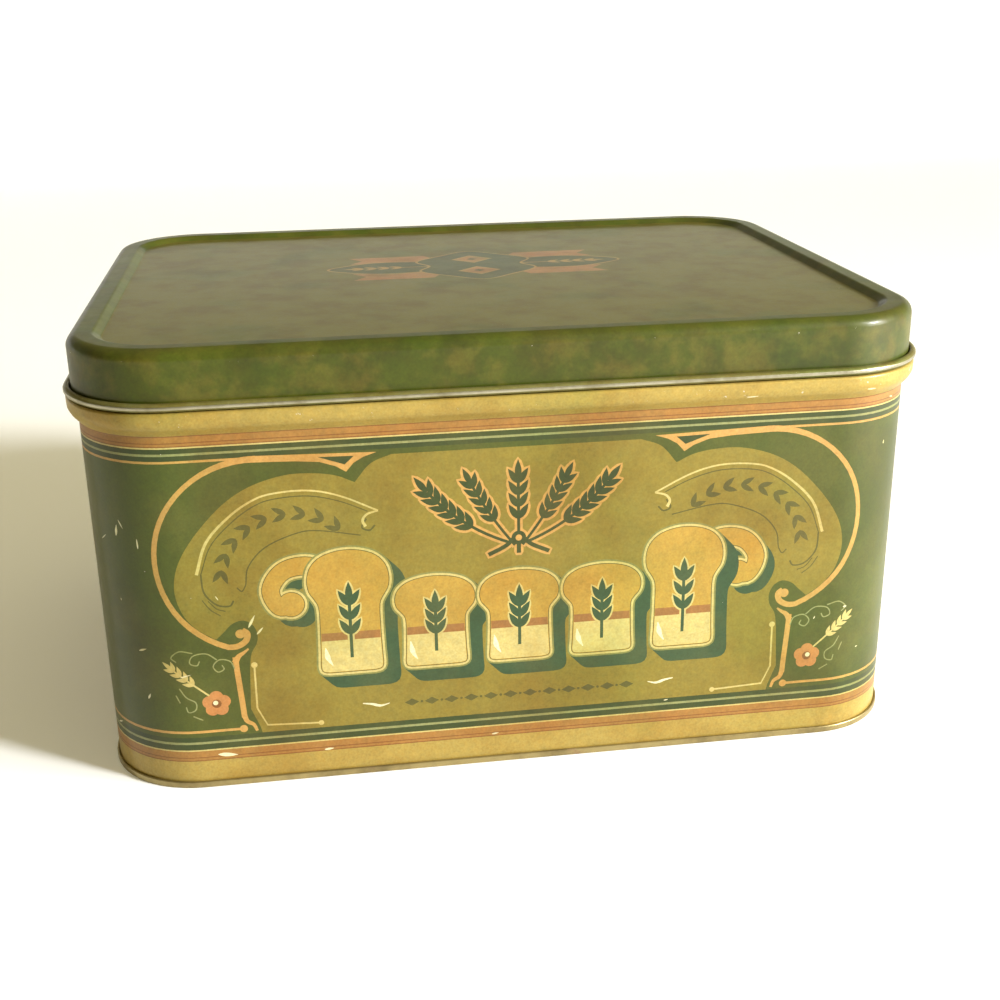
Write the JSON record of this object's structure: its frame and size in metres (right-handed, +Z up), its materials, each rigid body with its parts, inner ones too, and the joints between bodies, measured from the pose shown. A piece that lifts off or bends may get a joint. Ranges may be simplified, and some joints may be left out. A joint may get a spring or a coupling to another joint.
{
  "type": "bread box",
  "caption": "Rectangular printed tin bread box with round corners, a swage bead under the lid and a lift-off lid with a recessed panel.",
  "frame": {"origin": "middle of the base, on the surface that the box stands on", "axes": "+X along the long side, to the right as seen from the front; +Y from the front to the back; +Z up, the way the lid lifts off"},
  "size_m": [0.339, 0.265, 0.1795],
  "materials": {
    "printed_tin": "printed and varnished",
    "bare_tin": "satin",
    "printed_lid": "printed and varnished"
  },
  "bodies": {
    "box": {"wall_front": "printed_tin", "wall_back": "printed_tin", "bottom": "bare_tin"},
    "lid": {"lid": "printed_lid"}
  },
  "joints": [
    {"name": "lid_lift", "type": "slide", "parent": "box", "child": "lid", "axis": [0, 0, 1], "range_m": [0, 0.12]}
  ]
}
